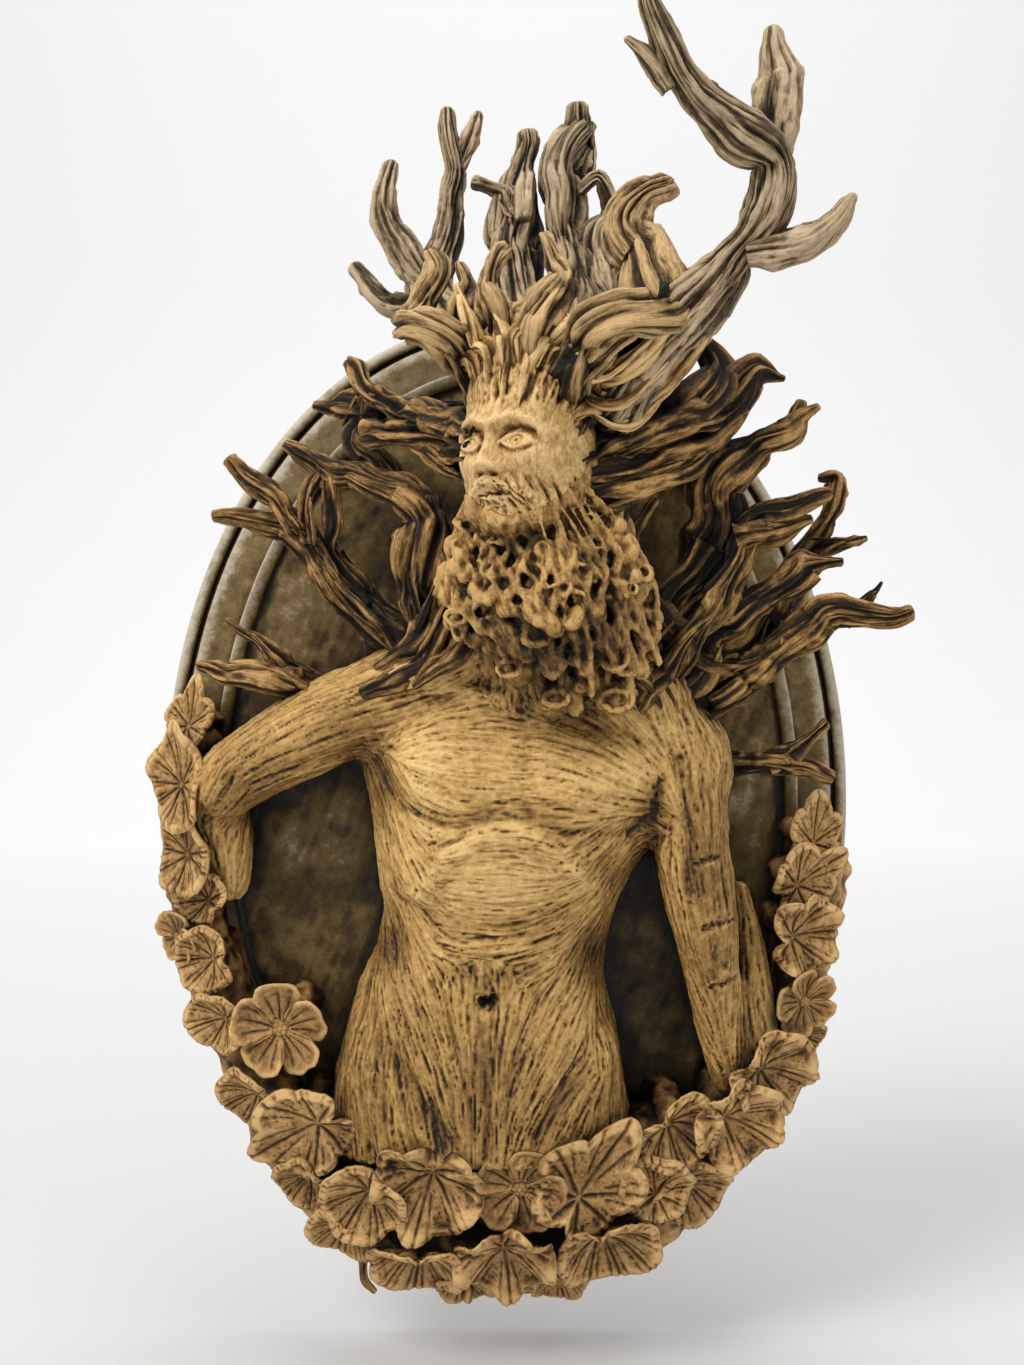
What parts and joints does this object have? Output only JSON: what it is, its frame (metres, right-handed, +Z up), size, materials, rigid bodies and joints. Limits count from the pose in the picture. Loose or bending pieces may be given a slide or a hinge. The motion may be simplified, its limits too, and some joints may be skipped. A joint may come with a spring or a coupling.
{
  "type": "wall plaque",
  "caption": "Oval wall plaque in cast resin: an antlered, bearded woodland figure in high relief growing out of a moulded board, with a garland of leaves and flowers.",
  "frame": {"origin": "centre of the oval board's flat back, which lies against the wall", "axes": "+Z up the oval's long side, +X to the viewer's right, -Y out of the wall towards the viewer"},
  "size_m": [0.194, 0.1161, 0.319],
  "materials": {
    "aged_resin": "satin cast resin stained like old wood: tan high points, dark brown grooves and glossy near-black hollows"
  },
  "bodies": {
    "root": {"plaque": "aged_resin"}
  },
  "joints": []
}
